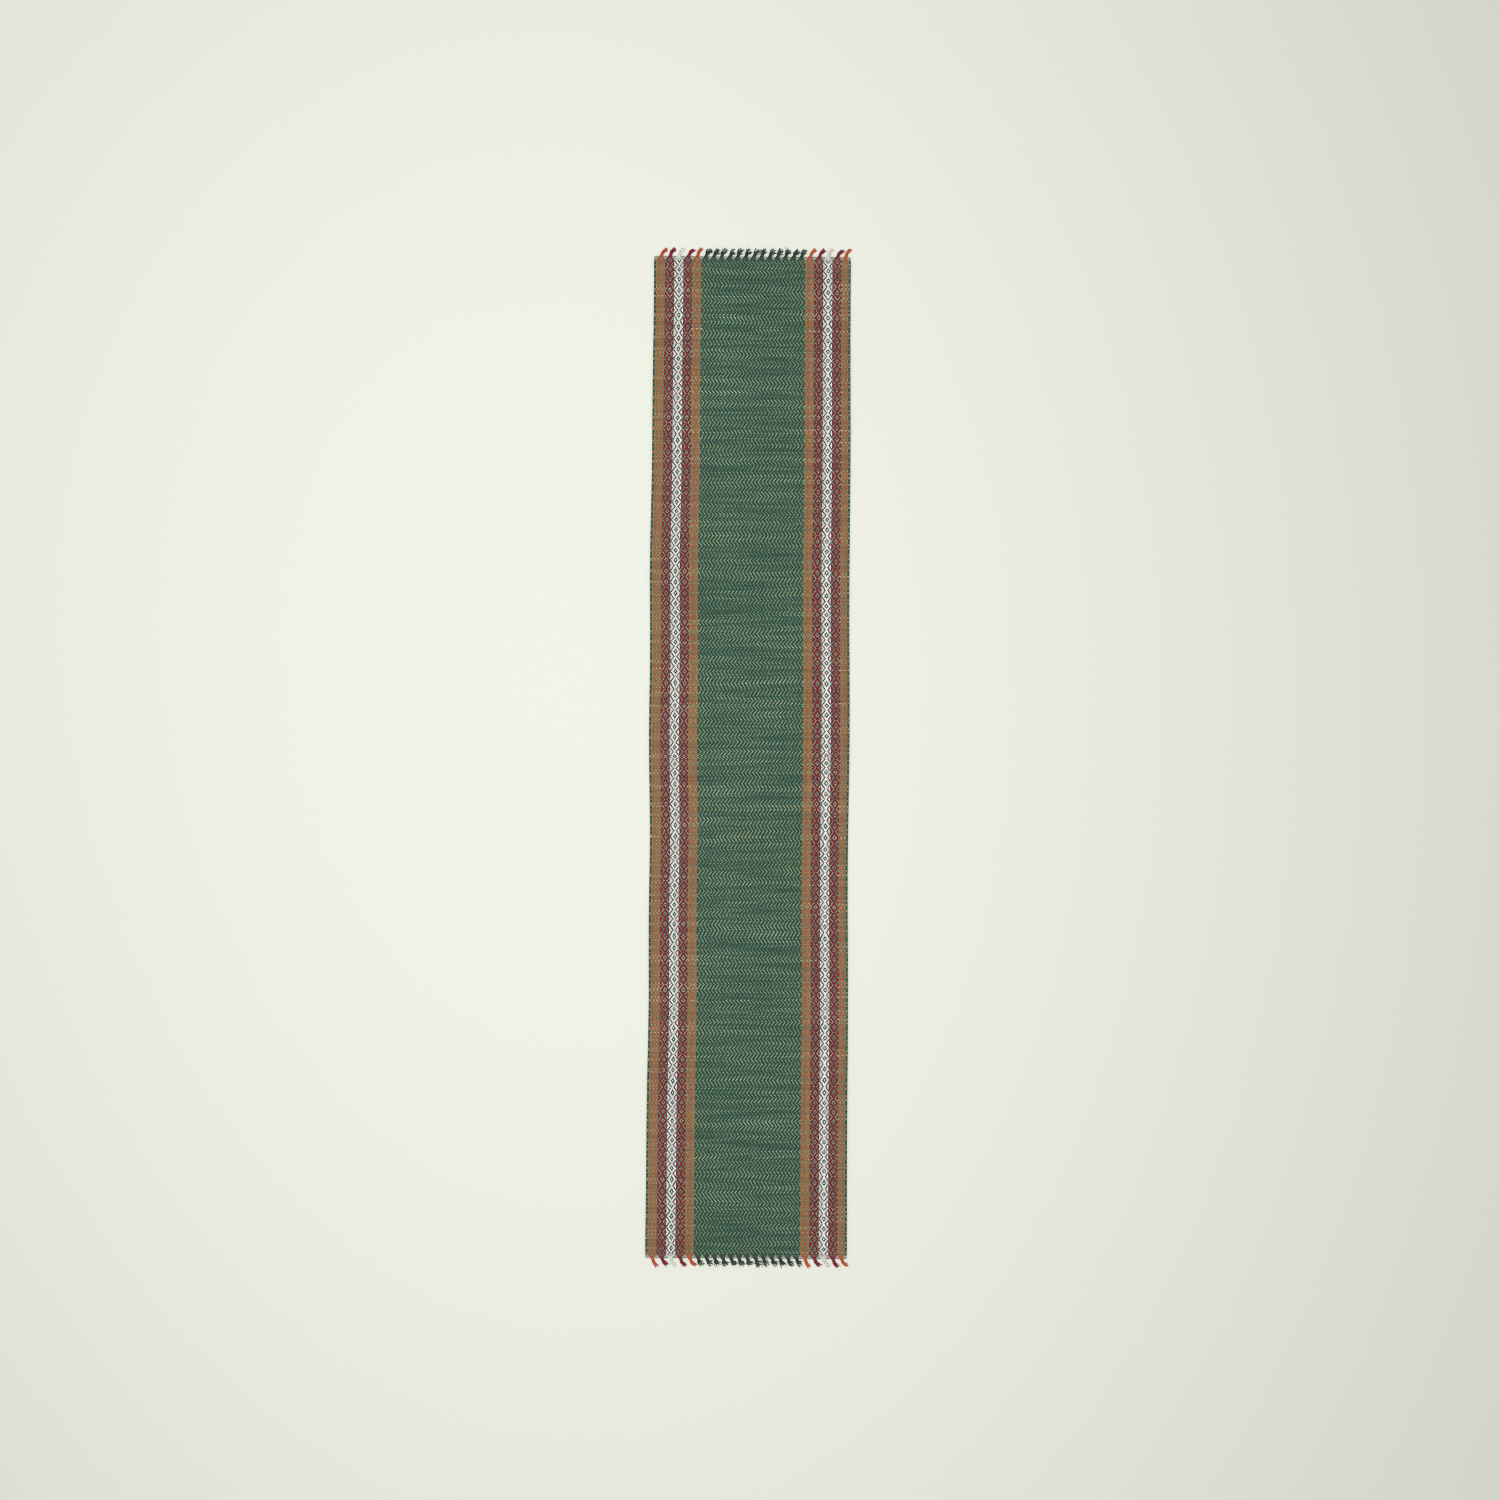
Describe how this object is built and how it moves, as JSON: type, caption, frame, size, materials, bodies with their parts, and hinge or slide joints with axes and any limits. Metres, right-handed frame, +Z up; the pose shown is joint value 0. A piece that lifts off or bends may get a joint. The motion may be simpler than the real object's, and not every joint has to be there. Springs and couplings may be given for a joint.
{
  "type": "table runner",
  "caption": "Long narrow handwoven cotton table runner in green point twill with diamond-patterned orange, red and white side stripes and short knotted tassels at both ends.",
  "frame": {"origin": "middle of the runner on its underside, where it lies on the table", "axes": "+Y along the runner towards its slightly narrower far end, +X across it to the right, +Z up out of its face"},
  "size_m": [0.3641, 1.8312, 0.0026],
  "materials": {
    "woven_cloth": "matte coarse cotton twill, dark green warp and sage weft, with orange, red and white warp stripes near both selvedges",
    "green_yarn": "matte loosely plied cotton warp yarn",
    "orange_yarn": "matte loosely plied cotton warp yarn",
    "red_yarn": "matte loosely plied cotton warp yarn",
    "white_yarn": "matte loosely plied cotton warp yarn"
  },
  "bodies": {
    "far_half": {"far_half_cloth": "woven_cloth"},
    "far_drop": {"far_drop_cloth": "woven_cloth", "far_tassel_green_01": "green_yarn", "far_tassel_green_02": "green_yarn", "far_tassel_green_03": "green_yarn", "far_tassel_green_04": "green_yarn", "far_tassel_green_05": "green_yarn", "far_tassel_green_06": "green_yarn", "far_tassel_green_07": "green_yarn", "far_tassel_green_08": "green_yarn", "far_tassel_green_09": "green_yarn", "far_tassel_green_10": "green_yarn", "far_tassel_green_11": "green_yarn", "far_tassel_green_12": "green_yarn", "far_tassel_green_13": "green_yarn", "far_tassel_left_inner_orange": "orange_yarn", "far_tassel_left_inner_red": "red_yarn", "far_tassel_left_outer_orange": "orange_yarn", "far_tassel_left_outer_red": "red_yarn", "far_tassel_left_white": "white_yarn", "far_tassel_right_inner_orange": "orange_yarn", "far_tassel_right_inner_red": "red_yarn", "far_tassel_right_outer_orange": "orange_yarn", "far_tassel_right_outer_red": "red_yarn", "far_tassel_right_white": "white_yarn"},
    "near_half": {"near_half_cloth": "woven_cloth"},
    "near_drop": {"near_drop_cloth": "woven_cloth", "near_tassel_green_01": "green_yarn", "near_tassel_green_02": "green_yarn", "near_tassel_green_03": "green_yarn", "near_tassel_green_04": "green_yarn", "near_tassel_green_05": "green_yarn", "near_tassel_green_06": "green_yarn", "near_tassel_green_07": "green_yarn", "near_tassel_green_08": "green_yarn", "near_tassel_green_09": "green_yarn", "near_tassel_green_10": "green_yarn", "near_tassel_green_11": "green_yarn", "near_tassel_green_12": "green_yarn", "near_tassel_green_13": "green_yarn", "near_tassel_left_inner_orange": "orange_yarn", "near_tassel_left_inner_red": "red_yarn", "near_tassel_left_outer_orange": "orange_yarn", "near_tassel_left_outer_red": "red_yarn", "near_tassel_left_white": "white_yarn", "near_tassel_right_inner_orange": "orange_yarn", "near_tassel_right_inner_red": "red_yarn", "near_tassel_right_outer_orange": "orange_yarn", "near_tassel_right_outer_red": "red_yarn", "near_tassel_right_white": "white_yarn"}
  },
  "joints": [
    {"name": "far_end_drop", "type": "hinge", "parent": "far_half", "child": "far_drop", "pos_m": [0, 0.7456, 0], "axis": [-1, 0, 0], "range_deg": [0, 90]},
    {"name": "middle_fold", "type": "hinge", "parent": "far_half", "child": "near_half", "pos_m": [0, 0, 0.0034], "axis": [-1, 0, 0], "range_deg": [0, 180]},
    {"name": "near_end_drop", "type": "hinge", "parent": "near_half", "child": "near_drop", "pos_m": [0, -0.7456, 0], "axis": [1, 0, 0], "range_deg": [0, 90]}
  ]
}
